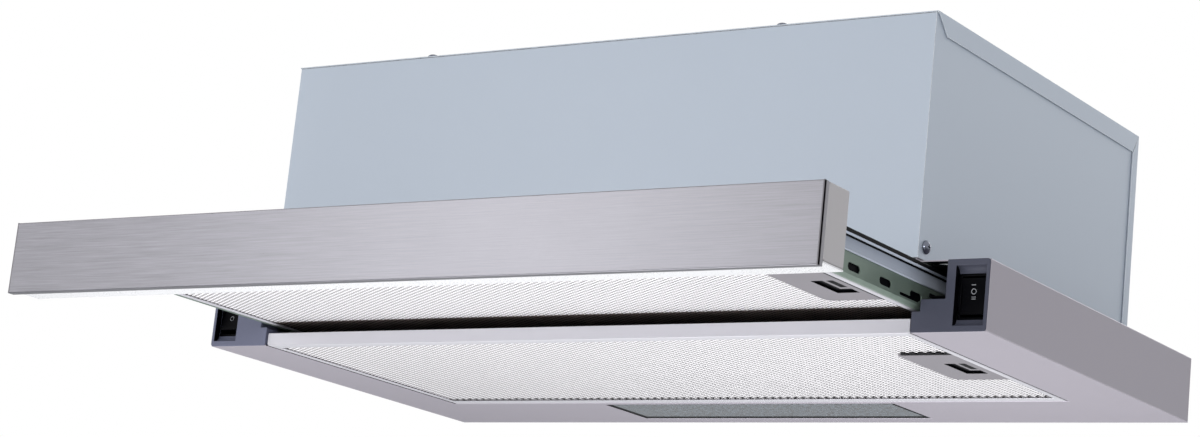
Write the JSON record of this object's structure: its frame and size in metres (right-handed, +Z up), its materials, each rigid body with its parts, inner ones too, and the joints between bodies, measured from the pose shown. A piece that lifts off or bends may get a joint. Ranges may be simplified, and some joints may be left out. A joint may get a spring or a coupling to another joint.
{
  "type": "pull-out range hood",
  "caption": "Slim cooker hood that hangs under a wall cabinet, with a drawer that slides out to widen the grease filter area over the hob.",
  "frame": {"origin": "on the back sheet's rear face, in the middle of the hood's width, level with the base frame's shoulder, where the wall cabinet rests", "axes": "+X to the right as seen from the front, +Y back towards the wall, +Z up"},
  "size_m": [0.598, 0.491, 0.2296],
  "materials": {
    "case_paint": "smooth silver-grey paint",
    "base_steel": "satin metallic grey lacquer",
    "fascia_steel": "brushed along its length",
    "galvanised_steel": "spangled zinc",
    "slide_steel": "drawn and oiled",
    "motor_steel": "plain lamination and pressed steel",
    "screw_chrome": "bright",
    "filter_frame": "anodised",
    "filter_mesh": "fine expanded mesh",
    "capacitor_can": "drawn can",
    "white_paint": "white paint",
    "cap_plastic": "fine grained moulding",
    "cheek_plastic": "satin moulding",
    "latch_plastic": "satin moulding",
    "switch_body": "plain moulding",
    "switch_key": "semi-gloss",
    "blower_plastic": "plain moulding",
    "impeller_plastic": "plain moulding",
    "flap_plastic": "plain moulding",
    "grommet_rubber": "moulded",
    "lens": "frosted and speckled",
    "bulb": "pearl"
  },
  "bodies": {
    "hood": {"case_front_sides": "case_paint", "case_top_back": "case_paint", "base_frame": "base_steel", "end_cap_right": "cap_plastic", "end_cap_left": "cap_plastic", "rail_bracket_right": "galvanised_steel", "rail_bracket_left": "galvanised_steel", "fixed_rail_right": "slide_steel", "fixed_rail_left": "slide_steel", "motor_switch_housing": "switch_body", "light_switch_housing": "switch_body", "lamp_tray": "white_paint", "lamp_lens": "lens", "lamp_holder_right": "switch_body", "lamp_holder_left": "switch_body", "lamp_bulb_right": "bulb", "lamp_bulb_left": "bulb", "blower_housing_right": "blower_plastic", "blower_housing_left": "blower_plastic", "fan_motor": "motor_steel", "motor_bracket": "galvanised_steel", "duct_collar": "blower_plastic", "run_capacitor": "capacitor_can", "terminal_box": "blower_plastic", "cable_grommet": "grommet_rubber", "drawer_microswitch": "switch_body", "case_side_screw_right": "screw_chrome", "case_side_screw_left": "screw_chrome", "case_top_screw_right": "screw_chrome", "case_top_screw_left": "screw_chrome"},
    "drawer": {"fascia_panel": "fascia_steel", "fascia_body": "white_paint", "fascia_cheek_right": "cheek_plastic", "fascia_cheek_left": "cheek_plastic", "drawer_arm_right": "galvanised_steel", "drawer_arm_left": "galvanised_steel", "drawer_rail_right": "slide_steel", "drawer_rail_left": "slide_steel", "drawer_cross_bar": "galvanised_steel", "front_filter_frame": "filter_frame", "front_filter_mesh": "filter_mesh", "front_latch_plate": "latch_plastic"},
    "ball_cage_right": {"ball_cage_right": "slide_steel"},
    "ball_cage_left": {"ball_cage_left": "slide_steel"},
    "front_latch": {"front_latch_slider": "latch_plastic"},
    "rear_filter": {"rear_filter_frame": "filter_frame", "rear_filter_mesh": "filter_mesh", "rear_latch_plate": "latch_plastic"},
    "rear_latch": {"rear_latch_slider": "latch_plastic"},
    "motor_rocker": {"motor_rocker": "switch_key"},
    "light_rocker": {"light_rocker": "switch_key"},
    "impeller": {"impeller": "impeller_plastic", "motor_shaft": "slide_steel"},
    "damper_flap_right": {"damper_flap_right": "flap_plastic"},
    "damper_flap_left": {"damper_flap_left": "flap_plastic"},
    "microswitch_lever": {"microswitch_lever": "slide_steel"}
  },
  "joints": [
    {"name": "drawer_slide", "type": "slide", "parent": "hood", "child": "drawer", "axis": [0, -1, 0], "range_m": [-0.166, 0]},
    {"name": "ball_cage_right_slide", "type": "slide", "parent": "hood", "child": "ball_cage_right", "axis": [0, -1, 0], "range_m": [-0.083, 0]},
    {"name": "ball_cage_left_slide", "type": "slide", "parent": "hood", "child": "ball_cage_left", "axis": [0, -1, 0], "range_m": [-0.083, 0]},
    {"name": "front_latch_slide", "type": "slide", "parent": "drawer", "child": "front_latch", "axis": [-1, 0, 0], "range_m": [0, 0.0045], "stiffness_N_per_m": 250},
    {"name": "rear_filter_hinge", "type": "hinge", "parent": "hood", "child": "rear_filter", "pos_m": [-0.249, -0.1875, -0.0421], "axis": [0, 1, 0], "range_deg": [0, 60]},
    {"name": "rear_latch_slide", "type": "slide", "parent": "rear_filter", "child": "rear_latch", "axis": [-1, 0, 0], "range_m": [0, 0.0045], "stiffness_N_per_m": 250},
    {"name": "motor_rocker_pivot", "type": "hinge", "parent": "hood", "child": "motor_rocker", "pos_m": [0.28685, -0.287, -0.02175], "axis": [1, 0, 0], "range_deg": [-10, 10]},
    {"name": "light_rocker_pivot", "type": "hinge", "parent": "hood", "child": "light_rocker", "pos_m": [-0.28685, -0.287, -0.02175], "axis": [1, 0, 0], "range_deg": [0, 20]},
    {"name": "impeller_spin", "type": "hinge", "parent": "hood", "child": "impeller", "pos_m": [0, -0.168, 0.078], "axis": [1, 0, 0], "continuous": true},
    {"name": "damper_flap_right_hinge", "type": "hinge", "parent": "hood", "child": "damper_flap_right", "pos_m": [0.0031, -0.14, 0.1639], "axis": [0, -1, 0], "range_deg": [0, 75]},
    {"name": "damper_flap_left_hinge", "type": "hinge", "parent": "hood", "child": "damper_flap_left", "pos_m": [-0.0031, -0.14, 0.1639], "axis": [0, 1, 0], "range_deg": [0, 75]},
    {"name": "microswitch_lever_hinge", "type": "hinge", "parent": "hood", "child": "microswitch_lever", "pos_m": [-0.2522, -0.01275, -0.02225], "axis": [-1, 0, 0], "range_deg": [0, 5], "stiffness_Nm_per_rad": 0.02}
  ],
  "couplings": [
    {"joint": "ball_cage_right_slide", "follows": "drawer_slide", "ratio": 0.5},
    {"joint": "ball_cage_left_slide", "follows": "drawer_slide", "ratio": 0.5}
  ]
}
